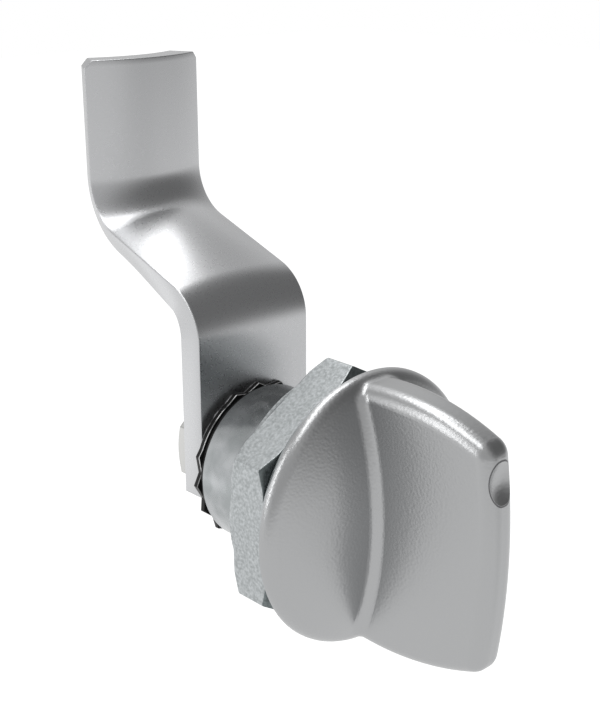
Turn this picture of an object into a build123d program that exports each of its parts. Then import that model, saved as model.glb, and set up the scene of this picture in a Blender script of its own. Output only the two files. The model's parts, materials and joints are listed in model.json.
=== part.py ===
from build123d import *
import math
import os

os.makedirs("parts", exist_ok=True)

# A quarter-turn cam latch, in millimetres.
# The latch axis is Y. The wing knob faces -Y and the cam lies on the +Y side, pointing up along +Z.
# The origin is on the axis, in the plane where the flange seats on the panel.

# Housing
shank_diameter = 22.0
shank_length = 18.05
flange_diameter = 34.0
flange_thickness = 1.6
flange_edge_break = 0.15

# Gasket in the flange's rear face
gasket_inner_diameter = 24.6
gasket_width = 1.8
gasket_thickness = 0.9
gasket_play = 0.1

# Mounting nut
nut_across_flats = 32.0
nut_thickness = 6.0
nut_corner_drop = 0.75
nut_face_diameter = 31.5
nut_face_height = 0.9
nut_turn = 1.0
nut_bore_chamfer = 0.5
thread_play = 0.05

# Wing knob, disc
disc_diameter = 36.64
disc_gap = 0.1
dome_radius = 46.0
rim_radius = 1.9

# Wing knob, wing
wing_depth = -24.0
wing_edge_bow = 1.27
wing_middle_depth = -12.5
wing_root_half_height = 17.4
wing_middle_half_height = 17.45
wing_end_half_height = 14.6
wing_root_thickness = 6.9
wing_end_thickness = 4.6
wing_corner_radius = 2.5
wing_edge_radius = 2.0
wing_root_fillet = 1.5

# Marker dimple in the wing's outer edge
dimple_height = 10.2
dimple_diameter = 5.3
dimple_depth = 0.9

# Wing knob, hub inside the housing
hub_diameter = 16.6
hub_end = 8.0
hub_play = 0.05
hub_floor_gap = 0.2
socket_floor = -3.5

# Seal in the hub's groove
seal_thickness = 1.4
seal_corner_break = 0.25
seal_groove_depth = 1.45
seal_groove_width = 1.9
seal_groove_centre = 5.7
seal_play = 0.05

# Cross pin through hub and spindle
pin_diameter = 3.0
pin_bore_diameter = 1.6
pin_slot = 0.6
pin_depth = 1.6
pin_end_recess = 0.3
pin_play = 0.02

# Spindle
spindle_diameter = 12.0
spindle_play = 0.05
front_square = 8.3
rear_square = 9.5
square_play = 0.05
front_square_end_gap = 0.2
rear_square_recess = 0.4

# Stop washer and the thrust washer under it
thrust_washer_thickness = 0.9
thrust_washer_outer_diameter = 21.2
thrust_washer_bore_play = 0.4
stop_washer_play = 0.05
stop_washer_thickness = 0.74
stop_washer_diameter = 21.85
tooth_tip_diameter = 22.5
tooth_valley_diameter = 20.8
tooth_pitch = 21.3
tooth_count = 7
tooth_valley_share = 0.57
tooth_first_tip = 73.0
smooth_start = 29.0
smooth_size = 38.0

# Lugs of the stop washer in the housing's pockets, which end the quarter turn
quarter_turn = 90.0
lug_inner_diameter = 12.6
lug_outer_diameter = 16.6
lug_size = 36.0
lug_length = 3.2
lug_side_play = 1.5
lug_play = 0.2

# Cam
cam_width = 19.3
cam_thickness = 3.85
cam_side_end = -3.3
cam_foot = -7.2
cam_foot_width = 6.1
cam_first_bend_height = 18.5
cam_first_bend_radius = 7.5
cam_bend_angle = 70.7
cam_slant_length = 13.9
cam_second_bend_radius = 7.4
cam_tip_height = 53.25
cam_tip_chamfer = 1.0
cam_arch_angle = 28.4
cam_arch_length = 25.1

# Screw and lock washer
screw_diameter = 8.0
screw_length = 12.0
screw_play = 0.05
screw_hole_spare = 1.2
screw_head_across_flats = 12.0
screw_head_height = 5.3
screw_head_corner_drop = 0.6
lock_washer_thickness = 0.96
lock_washer_diameter = 14.4
lock_washer_play = 0.25
lock_washer_teeth = 10
lock_washer_notch_width = 1.5
lock_washer_notch_depth = 1.3

# Places along the axis that several pieces share
panel_seat = 0.0
flange_front = panel_seat - flange_thickness
disc_rear = flange_front - disc_gap
shank_end = panel_seat + shank_length
stop_washer_front = shank_end + thrust_washer_thickness + stop_washer_play
cam_front = stop_washer_front + stop_washer_thickness
cam_rear = cam_front + cam_thickness
screw_seat = cam_rear + lock_washer_thickness
screw_rear = screw_seat + screw_head_height
screw_tip = screw_seat - screw_length

rearward = (0, 1, 0)


def across(depth):
    """Plane square to the latch axis at a depth, seen from the knob: x is +X and y is +Z."""
    return Plane.XZ.offset(-depth)


def ring_sector(inner_radius, outer_radius, start, size):
    """Outline of a piece of a flat ring, with angles in degrees from +X towards +Z."""
    outer = CenterArc((0, 0), outer_radius, start, size)
    inner = CenterArc((0, 0), inner_radius, start, size)
    Line(outer @ 0, inner @ 0)
    Line(outer @ 1, inner @ 1)


def rounded_square(width, diameter):
    """Square with its corners cut round, as milled on a round bar."""
    Rectangle(width, width)
    Circle(diameter / 2, mode=Mode.INTERSECT)


# Housing: one turned body with the flange, the hub's counterbore, the spindle's bore and two stop pockets
shank_radius = shank_diameter / 2
flange_radius = flange_diameter / 2
counterbore_radius = hub_diameter / 2 + hub_play
bore_radius = spindle_diameter / 2 + spindle_play
counterbore_end = hub_end + hub_floor_gap
gasket_inner_radius = gasket_inner_diameter / 2
gasket_outer_radius = gasket_inner_radius + gasket_width
pocket_radius = lug_outer_diameter / 2 + lug_play
pocket_start = 90 - lug_size / 2 - lug_side_play - quarter_turn
pocket_size = quarter_turn + lug_size + 2 * lug_side_play

with BuildPart() as housing:
    with BuildSketch(Plane.XY):
        with BuildLine():
            Polyline(
                (counterbore_radius, flange_front),
                (flange_radius, flange_front),
                (flange_radius, panel_seat),
                (shank_radius, panel_seat),
                (shank_radius, shank_end),
                (bore_radius, shank_end),
                (bore_radius, counterbore_end),
                (counterbore_radius, counterbore_end),
                close=True,
            )
        make_face()
    revolve(axis=Axis.Y)
    flange_rims = housing.edges().filter_by(lambda edge: edge.length > math.pi * (flange_diameter - 0.1))
    chamfer(flange_rims, flange_edge_break)
    with BuildSketch(across(panel_seat)):
        Circle(gasket_outer_radius + gasket_play)
        Circle(gasket_inner_radius - gasket_play, mode=Mode.SUBTRACT)
    extrude(amount=gasket_thickness, mode=Mode.SUBTRACT)
    with BuildSketch(across(shank_end)):
        for side in (0, 180):
            with BuildLine():
                ring_sector(bore_radius - 1, pocket_radius, pocket_start + side, pocket_size)
            make_face()
    extrude(amount=lug_length + lug_play, mode=Mode.SUBTRACT)
housing.part.label = "housing"
export_step(housing.part, "parts/housing.step")

# Gasket: flat ring, flush with the flange's rear face
with BuildPart() as flange_gasket:
    with BuildSketch(across(panel_seat)):
        Circle(gasket_outer_radius)
        Circle(gasket_inner_radius, mode=Mode.SUBTRACT)
    extrude(amount=gasket_thickness)
flange_gasket.part.label = "flange_gasket"
export_step(flange_gasket.part, "parts/flange_gasket.step")

# Mounting nut: a hexagon with corners turned off at 30 degrees on both faces, and a round washer face
nut_corner_radius = nut_across_flats / math.sqrt(3)
nut_rear = panel_seat + nut_thickness
nut_cone_radius = nut_corner_radius - nut_corner_drop / math.tan(math.radians(30))

with BuildPart() as mounting_nut:
    with BuildSketch(across(panel_seat)):
        RegularPolygon(nut_across_flats / 2, 6, major_radius=False, rotation=30 + nut_turn)
    extrude(amount=nut_thickness, dir=rearward)
    with BuildSketch(Plane.XY):
        with BuildLine():
            Polyline(
                (0, panel_seat),
                (nut_cone_radius, panel_seat),
                (nut_corner_radius, panel_seat + nut_corner_drop),
                (nut_corner_radius, nut_rear - nut_corner_drop),
                (nut_cone_radius, nut_rear),
                (0, nut_rear),
                close=True,
            )
        make_face()
    revolve(axis=Axis.Y, mode=Mode.INTERSECT)
    with BuildSketch(across(nut_rear)):
        Circle(nut_face_diameter / 2)
    extrude(amount=nut_face_height, dir=rearward)
    with BuildSketch(across(panel_seat)):
        Circle(shank_radius + thread_play)
    extrude(amount=nut_thickness + nut_face_height, dir=rearward, mode=Mode.SUBTRACT)
    nut_rings = mounting_nut.edges().filter_by(GeomType.CIRCLE)
    nut_mouths = nut_rings.filter_by(lambda rim: rim.radius < shank_radius + 1)
    chamfer(nut_mouths, nut_bore_chamfer)
mounting_nut.part.label = "mounting_nut"
export_step(mounting_nut.part, "parts/mounting_nut.step")

# Wing knob: the wing is a slab that thins outwards, with bull-nosed edges, run into a domed disc by a fillet
disc_radius = disc_diameter / 2
rim_centre_radius = disc_radius - rim_radius
dome_slope = math.asin(rim_centre_radius / (dome_radius - rim_radius))
dome_centre = disc_rear + (dome_radius - rim_radius) * math.cos(dome_slope)
dome_apex = dome_centre - dome_radius
dome_edge = (dome_radius * math.sin(dome_slope), dome_centre - dome_radius * math.cos(dome_slope))
dome_middle = (dome_radius * math.sin(dome_slope / 2), dome_centre - dome_radius * math.cos(dome_slope / 2))
rim_half_turn = (math.pi / 2 - dome_slope) / 2
rim_corner = (disc_radius, disc_rear - rim_radius * math.tan(rim_half_turn))
rim_weights = [1, math.cos(rim_half_turn), 1]
hub_radius = hub_diameter / 2
groove_floor_radius = hub_radius - seal_groove_depth
wing_side_depth = wing_depth + wing_edge_bow

with BuildPart() as wing_knob:
    with BuildSketch(Plane.YZ) as wing_outline:
        with BuildLine():
            ThreePointArc(
                (disc_rear, wing_root_half_height),
                (wing_middle_depth, wing_middle_half_height),
                (wing_side_depth, wing_end_half_height),
            )
            ThreePointArc(
                (wing_side_depth, wing_end_half_height),
                (wing_depth, 0),
                (wing_side_depth, -wing_end_half_height),
            )
            ThreePointArc(
                (wing_side_depth, -wing_end_half_height),
                (wing_middle_depth, -wing_middle_half_height),
                (disc_rear, -wing_root_half_height),
            )
            Line((disc_rear, -wing_root_half_height), (disc_rear, wing_root_half_height))
        make_face()
        fillet(wing_outline.vertices().group_by(Axis.X)[0], wing_corner_radius)
    extrude(amount=wing_root_thickness, both=True)
    with BuildSketch(Plane.XY.offset(-disc_radius - 1)):
        with BuildLine():
            Polyline(
                (-wing_root_thickness / 2, disc_rear),
                (-wing_end_thickness / 2, wing_depth),
                (wing_end_thickness / 2, wing_depth),
                (wing_root_thickness / 2, disc_rear),
                close=True,
            )
        make_face()
    extrude(amount=disc_diameter + 2, mode=Mode.INTERSECT)
    wing_edges = wing_knob.edges().filter_by(
        lambda edge: abs(edge.center().X) > wing_end_thickness / 3 and edge.center().Y < disc_rear - 0.1
    )
    fillet(wing_edges, wing_edge_radius)
    with BuildSketch(Plane.XY):
        with BuildLine():
            ThreePointArc((0, dome_apex), dome_middle, dome_edge)
            Bezier(dome_edge, rim_corner, (disc_radius, disc_rear), weights=rim_weights)
            Polyline((disc_radius, disc_rear), (0, disc_rear), (0, dome_apex))
        make_face()
    revolve(axis=Axis.Y)
    root_edges = wing_knob.edges().filter_by(
        lambda edge: abs(edge.center().X) < wing_root_thickness / 2 + 0.2
        and dome_apex < edge.center().Y < disc_rear - 0.1
        and abs(edge.center().Z) < disc_radius
    )
    fillet(root_edges, wing_root_fillet)
    # Marker dimple: a shallow ball-shaped dish, sunk square to the bowed edge
    dimple_ball = (dimple_diameter**2 / 4 + dimple_depth**2) / (2 * dimple_depth)
    dimple_reach = dimple_ball - dimple_depth
    edge_bow_radius = (wing_end_half_height**2 + wing_edge_bow**2) / (2 * wing_edge_bow)
    edge_slope = math.asin(dimple_height / edge_bow_radius)
    dimple_edge_depth = wing_depth + edge_bow_radius * (1 - math.cos(edge_slope))
    dimple_centre_depth = dimple_edge_depth - dimple_reach * math.cos(edge_slope)
    dimple_centre_height = dimple_height + dimple_reach * math.sin(edge_slope)
    with Locations((0, dimple_centre_depth, dimple_centre_height)):
        Sphere(dimple_ball, mode=Mode.SUBTRACT)
    # Hub with the seal's groove, the square socket and the pin's hole
    with BuildSketch(Plane.XY):
        with BuildLine():
            Polyline(
                (0, disc_rear),
                (hub_radius, disc_rear),
                (hub_radius, seal_groove_centre - seal_groove_width / 2),
                (groove_floor_radius, seal_groove_centre - seal_groove_width / 2),
                (groove_floor_radius, seal_groove_centre + seal_groove_width / 2),
                (hub_radius, seal_groove_centre + seal_groove_width / 2),
                (hub_radius, hub_end),
                (0, hub_end),
                close=True,
            )
        make_face()
    revolve(axis=Axis.Y)
    with BuildSketch(across(hub_end)):
        Rectangle(front_square + 2 * square_play, front_square + 2 * square_play)
    extrude(amount=hub_end - socket_floor, mode=Mode.SUBTRACT)
    with BuildSketch(Plane.YZ.offset(-hub_radius)):
        with Locations((pin_depth, 0)):
            Circle(pin_diameter / 2 + pin_play)
    extrude(amount=hub_diameter, mode=Mode.SUBTRACT)
wing_knob.part.label = "wing_knob"
export_step(wing_knob.part, "parts/wing_knob.step")

# Hub seal: ring of square section with broken corners
seal_inner_radius = groove_floor_radius + seal_play
with BuildPart() as hub_seal:
    with BuildSketch(Plane.XY) as seal_section:
        with Locations((seal_inner_radius + seal_thickness / 2, seal_groove_centre)):
            Rectangle(seal_thickness, seal_thickness)
        chamfer(seal_section.vertices(), seal_corner_break)
    revolve(axis=Axis.Y)
hub_seal.part.label = "hub_seal"
export_step(hub_seal.part, "parts/hub_seal.step")

# Knob pin: slotted spring pin across the hub
pin_length = hub_diameter - 2 * pin_end_recess
with BuildPart() as knob_pin:
    with BuildSketch(Plane.YZ.offset(-pin_length / 2)):
        with Locations((pin_depth, 0)):
            Circle(pin_diameter / 2)
            Circle(pin_bore_diameter / 2, mode=Mode.SUBTRACT)
        with Locations((pin_depth, pin_diameter / 2)):
            Rectangle(pin_slot, pin_diameter, mode=Mode.SUBTRACT)
    extrude(amount=pin_length)
knob_pin.part.label = "knob_pin"
export_step(knob_pin.part, "parts/knob_pin.step")

# Spindle: front square, round journal, rear square and a tapped hole
spindle_front = socket_floor + front_square_end_gap
spindle_rear = cam_rear - rear_square_recess
with BuildPart() as spindle:
    with BuildSketch(across(hub_end)):
        Circle(spindle_diameter / 2)
    extrude(amount=stop_washer_front - hub_end, dir=rearward)
    with BuildSketch(across(spindle_front)):
        Rectangle(front_square, front_square)
    extrude(amount=hub_end - spindle_front, dir=rearward)
    with BuildSketch(across(stop_washer_front)):
        rounded_square(rear_square, spindle_diameter)
    extrude(amount=spindle_rear - stop_washer_front, dir=rearward)
    with BuildSketch(across(spindle_rear)):
        Circle(screw_diameter / 2)
    extrude(amount=spindle_rear - screw_tip + screw_hole_spare, mode=Mode.SUBTRACT)
    with BuildSketch(Plane.YZ.offset(-spindle_diameter / 2)):
        with Locations((pin_depth, 0)):
            Circle(pin_diameter / 2 + pin_play)
    extrude(amount=spindle_diameter, mode=Mode.SUBTRACT)
spindle.part.label = "spindle"
export_step(spindle.part, "parts/spindle.step")

# Thrust washer: plain ring on the housing's end, around the stop washer's lugs
with BuildPart() as thrust_washer:
    with BuildSketch(across(shank_end)):
        Circle(thrust_washer_outer_diameter / 2)
        Circle(lug_outer_diameter / 2 + thrust_washer_bore_play, mode=Mode.SUBTRACT)
    extrude(amount=thrust_washer_thickness, dir=rearward)
thrust_washer.part.label = "thrust_washer"
export_step(thrust_washer.part, "parts/thrust_washer.step")


# Stop washer: two smooth sectors, pointed teeth between them, and two lugs that reach into the housing
def polar(diameter, angle):
    """Point at an angle in degrees from +Z towards -X."""
    return (-diameter / 2 * math.sin(math.radians(angle)), diameter / 2 * math.cos(math.radians(angle)))


with BuildPart() as stop_washer:
    with BuildSketch(across(stop_washer_front)):
        with BuildLine():
            for half in (0, 180):
                start = smooth_start + half
                end = start + smooth_size
                middle = start + smooth_size / 2
                ThreePointArc(
                    polar(stop_washer_diameter, start),
                    polar(stop_washer_diameter, middle),
                    polar(stop_washer_diameter, end),
                )
                teeth = [polar(stop_washer_diameter, end)]
                for tooth in range(tooth_count):
                    tip = tooth_first_tip + half + tooth * tooth_pitch
                    teeth.append(polar(tooth_tip_diameter, tip))
                    if tooth < tooth_count - 1:
                        teeth.append(polar(tooth_valley_diameter, tip + tooth_valley_share * tooth_pitch))
                teeth.append(polar(stop_washer_diameter, start + 180))
                Polyline(*teeth)
        make_face()
    extrude(amount=stop_washer_thickness, dir=rearward)
    with BuildSketch(across(stop_washer_front)):
        for side in (0, 180):
            lug_start = 90 - lug_size / 2 + side
            with BuildLine():
                ring_sector(lug_inner_diameter / 2, lug_outer_diameter / 2, lug_start, lug_size)
            make_face()
    extrude(amount=lug_length + stop_washer_front - shank_end)
    with BuildSketch(across(stop_washer_front)):
        rounded_square(rear_square + 2 * square_play, spindle_diameter + 2 * square_play)
    extrude(amount=stop_washer_thickness, dir=rearward, mode=Mode.SUBTRACT)
stop_washer.part.label = "stop_washer"
export_step(stop_washer.part, "parts/stop_washer.step")

# Cam: a flat bar with a square hole, bent rearward and up again, and arched from the first bend on
half_width = cam_width / 2
bend_sine = math.sin(math.radians(cam_bend_angle))
bend_cosine = math.cos(math.radians(cam_bend_angle))
slant_start_depth = cam_front + cam_first_bend_radius * (1 - bend_cosine)
slant_start_height = cam_first_bend_height + cam_first_bend_radius * bend_sine
slant_end_depth = slant_start_depth + cam_slant_length * bend_sine
slant_end_height = slant_start_height + cam_slant_length * bend_cosine
tip_start_depth = slant_end_depth + cam_second_bend_radius * (1 - bend_cosine)
tip_start_height = slant_end_height + cam_second_bend_radius * bend_sine
slant_sections = 6
bend_sections = 7
bend_radians = math.radians(cam_bend_angle)
slant_start = cam_first_bend_radius * bend_radians
slant_end = slant_start + cam_slant_length
second_bend_end = slant_end + cam_second_bend_radius * bend_radians


def cam_station(travel):
    """Plane square to the cam's front edge, a travel beyond the first bend's start, and its arch's share."""
    if travel < slant_start:
        turn = travel / cam_first_bend_radius
        depth = cam_front + cam_first_bend_radius * (1 - math.cos(turn))
        height = cam_first_bend_height + cam_first_bend_radius * math.sin(turn)
    elif travel <= slant_end:
        turn = bend_radians
        depth = slant_start_depth + (travel - slant_start) * bend_sine
        height = slant_start_height + (travel - slant_start) * bend_cosine
    else:
        turn = bend_radians - (travel - slant_end) / cam_second_bend_radius
        depth = slant_end_depth + cam_second_bend_radius * (math.cos(turn) - bend_cosine)
        height = slant_end_height + cam_second_bend_radius * (bend_sine - math.sin(turn))
    share = min(travel / cam_arch_length, 1)
    growth = share * share * (3 - 2 * share)
    direction = (0, math.sin(turn), math.cos(turn))
    return Plane(origin=(0, depth, height), x_dir=(1, 0, 0), z_dir=direction), growth


def arched_section(arch_angle):
    """Cross-section with round front and rear faces about one centre, and sides along its radii."""
    sine = math.sin(math.radians(arch_angle))
    cosine = math.cos(math.radians(arch_angle))
    tangent = math.tan(math.radians(arch_angle))
    rear_half = half_width - cam_thickness * sine
    rear_side = cam_thickness * cosine
    rear_peak = rear_side - rear_half * tangent
    weights = [1, cosine, 1]
    front = Bezier((-half_width, 0), (0, -half_width * tangent), (half_width, 0), weights=weights)
    rear = Bezier((-rear_half, rear_side), (0, rear_peak), (rear_half, rear_side), weights=weights)
    Line(front @ 0, rear @ 0)
    Line(front @ 1, rear @ 1)


first_bend_travels = [slant_start * step / bend_sections for step in range(bend_sections)]
slant_travels = [slant_start + cam_slant_length * step / slant_sections for step in range(slant_sections)]
second_bend_step = (second_bend_end - slant_end) / bend_sections
second_bend_travels = [slant_end + step * second_bend_step for step in range(bend_sections + 1)]

with BuildPart() as cam:
    with BuildSketch(across(cam_front)):
        with BuildLine():
            Polyline(
                (-half_width, cam_first_bend_height),
                (-half_width, cam_side_end),
                (-cam_foot_width / 2, cam_foot),
                (cam_foot_width / 2, cam_foot),
                (half_width, cam_side_end),
                (half_width, cam_first_bend_height),
                close=True,
            )
        make_face()
        rounded_hole = rear_square + 2 * square_play
        hole_round = spindle_diameter + 2 * square_play
        with BuildSketch(mode=Mode.PRIVATE) as drive_hole:
            rounded_square(rounded_hole, hole_round)
        add(drive_hole.sketch, mode=Mode.SUBTRACT)
    extrude(amount=cam_thickness, dir=rearward)
    for travel in first_bend_travels + slant_travels + second_bend_travels:
        station, growth = cam_station(travel)
        with BuildSketch(station):
            with BuildLine():
                arched_section(cam_arch_angle * growth)
            make_face()
    loft()
    with BuildSketch(Plane(origin=(0, tip_start_depth, tip_start_height), x_dir=(1, 0, 0), z_dir=(0, 0, 1))):
        with BuildLine():
            arched_section(cam_arch_angle)
        make_face()
    extrude(amount=cam_tip_height - tip_start_height)
    tip_corners = cam.edges().group_by(Axis.Z)[-1].filter_by(lambda edge: edge.length < cam_thickness * 1.1)
    chamfer(tip_corners, cam_tip_chamfer)
cam.part.label = "cam"
export_step(cam.part, "parts/cam.step")

# Lock washer: flat ring with teeth left between notches
with BuildPart() as lock_washer:
    with BuildSketch(across(cam_rear)):
        Circle(lock_washer_diameter / 2)
        Circle(screw_diameter / 2 + lock_washer_play, mode=Mode.SUBTRACT)
        with PolarLocations(lock_washer_diameter / 2, lock_washer_teeth):
            Rectangle(2 * lock_washer_notch_depth, lock_washer_notch_width, mode=Mode.SUBTRACT)
    extrude(amount=lock_washer_thickness, dir=rearward)
lock_washer.part.label = "lock_washer"
export_step(lock_washer.part, "parts/lock_washer.step")

# Cam screw: hexagon head with turned-off corners, and a plain shank in the spindle's hole
head_corner_radius = screw_head_across_flats / math.sqrt(3)
head_cone_radius = head_corner_radius - screw_head_corner_drop / math.tan(math.radians(30))
with BuildPart() as cam_screw:
    with BuildSketch(across(screw_seat)):
        RegularPolygon(screw_head_across_flats / 2, 6, major_radius=False, rotation=30)
    extrude(amount=screw_head_height, dir=rearward)
    with BuildSketch(Plane.XY):
        with BuildLine():
            Polyline(
                (0, screw_seat),
                (head_corner_radius, screw_seat),
                (head_corner_radius, screw_rear - screw_head_corner_drop),
                (head_cone_radius, screw_rear),
                (0, screw_rear),
                close=True,
            )
        make_face()
    revolve(axis=Axis.Y, mode=Mode.INTERSECT)
    with BuildSketch(across(screw_seat)):
        Circle(screw_diameter / 2 - screw_play)
    extrude(amount=screw_length)
cam_screw.part.label = "cam_screw"
export_step(cam_screw.part, "parts/cam_screw.step")
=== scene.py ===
# %% [markdown]
# A quarter-turn cam latch: a cast wing knob turns a spindle, and the cranked cam on the spindle swings
# behind a frame. This lesson dresses the measured model. The knob and the housing keep their measured
# surfaces and get new finishes. The nut, the two black rings, the screw and the cam are worked out again,
# with small rounded edges. The first cell loads the measured model, which nothing here moves.

# %% Load the measured model
import json
import math

import bmesh
import bpy
import numpy as np
from mathutils import Matrix, Vector


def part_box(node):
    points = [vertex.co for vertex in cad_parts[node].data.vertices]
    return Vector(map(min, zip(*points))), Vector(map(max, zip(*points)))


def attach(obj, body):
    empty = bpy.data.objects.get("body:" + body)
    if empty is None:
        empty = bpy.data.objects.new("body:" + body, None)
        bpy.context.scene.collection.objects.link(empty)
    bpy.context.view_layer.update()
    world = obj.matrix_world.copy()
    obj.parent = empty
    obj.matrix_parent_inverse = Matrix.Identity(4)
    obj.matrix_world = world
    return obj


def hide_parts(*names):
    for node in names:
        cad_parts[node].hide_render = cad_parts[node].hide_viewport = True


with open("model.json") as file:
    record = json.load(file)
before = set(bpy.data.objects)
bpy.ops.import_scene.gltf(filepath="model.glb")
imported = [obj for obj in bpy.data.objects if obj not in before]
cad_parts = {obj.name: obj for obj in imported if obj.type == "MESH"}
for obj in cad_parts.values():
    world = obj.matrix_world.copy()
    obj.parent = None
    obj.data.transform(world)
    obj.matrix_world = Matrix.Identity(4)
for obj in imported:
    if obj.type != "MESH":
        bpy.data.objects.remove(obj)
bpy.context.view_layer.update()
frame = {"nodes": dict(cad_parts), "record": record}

MM = 0.001

# %% [markdown]
# A piece that takes a measured node's place has to stay where that node is. So a size or a place that the
# node's box gives is read from the box, and only what the box can't tell is a named value, in millimetres.

# %% Sizes from the measured nodes
def extent(node, axis):
    """Lowest and highest coordinate of a node along an axis, in millimetres to four decimals."""
    return [round(corner["XYZ".index(axis)] / MM, 4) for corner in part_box(node)]


print("knob", extent("wing_knob", "Y"), "cam", extent("cam", "Y"), "mm along the axis")

# %% [markdown]
# The photograph was taken from the left, a little above the knob. A camera can be aimed by eye, but then
# edges only nearly meet. This one was solved from straight edges and circles of known size, so the render
# and the photograph can be laid over each other.

# %% Camera
CAMERA_PLACE = (-110.206, -107.833, 72.502)
CAMERA_YAW = 42.903
CAMERA_PITCH = 19.042
CAMERA_ROLL = -0.130
FOCAL_PIXELS = 1308.675
IMAGE_HEIGHT = 720
SENSOR = 36.0
CLIP_NEAR = 0.005
CLIP_FAR = 5.0

yaw, pitch, roll = (math.radians(angle) for angle in (CAMERA_YAW, CAMERA_PITCH, CAMERA_ROLL))
heading = Vector((math.sin(yaw), math.cos(yaw), 0))
forward = heading * math.cos(pitch) - Vector((0, 0, 1)) * math.sin(pitch)
flat_right = Vector((math.cos(yaw), -math.sin(yaw), 0))
flat_up = flat_right.cross(forward)
right = flat_right * math.cos(roll) + flat_up * math.sin(roll)
up = right.cross(forward)

camera_data = bpy.data.cameras.new("camera")
camera_data.sensor_width = SENSOR
camera_data.lens = FOCAL_PIXELS * SENSOR / IMAGE_HEIGHT
camera_data.clip_start = CLIP_NEAR
camera_data.clip_end = CLIP_FAR
camera = bpy.data.objects.new("camera", camera_data)
camera.matrix_world = Matrix((
    (right.x, up.x, -forward.x, CAMERA_PLACE[0] * MM),
    (right.y, up.y, -forward.y, CAMERA_PLACE[1] * MM),
    (right.z, up.z, -forward.z, CAMERA_PLACE[2] * MM),
    (0, 0, 0, 1),
))
bpy.context.scene.collection.objects.link(camera)
bpy.context.scene.camera = camera
bpy.context.scene.view_settings.view_transform = "Standard"
print("lens", round(camera_data.lens, 2), "mm")

# %% [markdown]
# Metal shows what stands around it, so the studio matters as much as the finish. The photograph's metal
# mirrors a white floor, grey walls that are darkest to the right of the camera, and a few soft lamps. A
# picture of a real studio could surround the latch, but walls made of a few soft spots can be tuned one by
# one, until each highlight and shadow lies where the photograph has it. They depend on direction only, and
# the camera itself sees white.

# %% Directions around the latch
def towards(azimuth, elevation):
    """Unit vector at an azimuth from +Y towards +X and an elevation above the horizon, in degrees."""
    turn, rise = math.radians(azimuth), math.radians(elevation)
    return Vector((math.sin(turn) * math.cos(rise), math.cos(turn) * math.cos(rise), math.sin(rise)))


print("the camera is at azimuth", round(math.degrees(math.atan2(*CAMERA_PLACE[:2]))))

# %% Seen direction
world = bpy.data.worlds.new("studio")
world.use_nodes = True
nodes, links = world.node_tree.nodes, world.node_tree.links
seen = nodes.new("ShaderNodeTexCoord")
direction = nodes.new("ShaderNodeVectorMath")
direction.operation = "NORMALIZE"
links.new(seen.outputs["Generated"], direction.inputs[0])
seen_parts = nodes.new("ShaderNodeSeparateXYZ")
links.new(direction.outputs[0], seen_parts.inputs[0])
print("world", world.name)

# %% Soft steps, spots and sums
def ramp(socket, start, end, low, high):
    """Smooth step of a socket's value, from low at the start to high at the end."""
    step = nodes.new("ShaderNodeMapRange")
    step.interpolation_type = "SMOOTHSTEP"
    for name, value in (("From Min", start), ("From Max", end), ("To Min", low), ("To Max", high)):
        step.inputs[name].default_value = value
    links.new(socket, step.inputs["Value"])
    return step.outputs["Result"]


def spot(centre, reach, low, high):
    """Smooth step from low to high as the angle to a centre closes, between the reach's two cosines."""
    dot = nodes.new("ShaderNodeVectorMath")
    dot.operation = "DOT_PRODUCT"
    dot.inputs[1].default_value = centre
    links.new(direction.outputs[0], dot.inputs[0])
    return ramp(dot.outputs["Value"], *reach, low, high)


def white_by(share, socket):
    """A socket's value where the share is zero, and one where it is one."""
    mix = nodes.new("ShaderNodeMix")
    links.new(share, mix.inputs[0])
    links.new(socket, mix.inputs[2])
    mix.inputs[3].default_value = 1.0
    return mix.outputs[0]


def total(first, second):
    """Sum of two sockets."""
    add = nodes.new("ShaderNodeMath")
    links.new(first, add.inputs[0])
    links.new(second, add.inputs[1])
    return add.outputs[0]


print("world nodes before the walls", len(nodes))

# %% Grey walls over a white floor
WALL_GREY = 0.64
WALL_DARK = 0.2
DARK_CENTRE = towards(129, 36)
DARK_REACH = (0.40, 0.97)
LEFT_GLOW = 0.35
LEFT_CENTRE = towards(-62, 4)
LEFT_REACH = (0.75, 0.97)
RIGHT_GLOW = 0.17
RIGHT_CENTRE = towards(52, 42)
RIGHT_REACH = (0.86, 0.97)
TOP_GLOW = 0.45
TOP_CENTRE = towards(20, 57)
TOP_REACH = (0.85, 0.99)
FLOOR_EDGE = -0.28
WALL_EDGE = 0.07
FLOOR_SHADE = -0.09
SHADE_CENTRE = towards(159, -17)
SHADE_REACH = (0.93, 0.995)

walls = spot(DARK_CENTRE, DARK_REACH, WALL_GREY, WALL_DARK)
walls = total(walls, spot(LEFT_CENTRE, LEFT_REACH, 0.0, LEFT_GLOW))
walls = total(walls, spot(RIGHT_CENTRE, RIGHT_REACH, 0.0, RIGHT_GLOW))
walls = total(walls, spot(TOP_CENTRE, TOP_REACH, 0.0, TOP_GLOW))
surroundings = white_by(ramp(seen_parts.outputs["Z"], FLOOR_EDGE, WALL_EDGE, 1.0, 0.0), walls)
surroundings = total(surroundings, spot(SHADE_CENTRE, SHADE_REACH, 0.0, FLOOR_SHADE))
ray = nodes.new("ShaderNodeLightPath")
links.new(white_by(ray.outputs["Is Camera Ray"], surroundings), nodes["Background"].inputs["Strength"])
nodes["Background"].inputs["Color"].default_value = (1, 1, 1, 1)
bpy.context.scene.world = world
print("world nodes", len(nodes))

# %% [markdown]
# Four lamps draw the highlights: a soft box above and behind the cam's slope, a ceiling lamp close above
# the wing, a tall narrow strip at the left, and a weak low lamp at the rear. Spot lamps would leave hard
# dots on the metal. Area lamps show as soft shapes, and one that stands close brightens the piece below it
# and little else.

# %% Lamps
AXIS = (0, 0, 0)
CAM_SLOPE = (0, 30, 38)
WING_TOP = (-15, -26, 12)
LAMP_DISTANCE = 0.36


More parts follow.
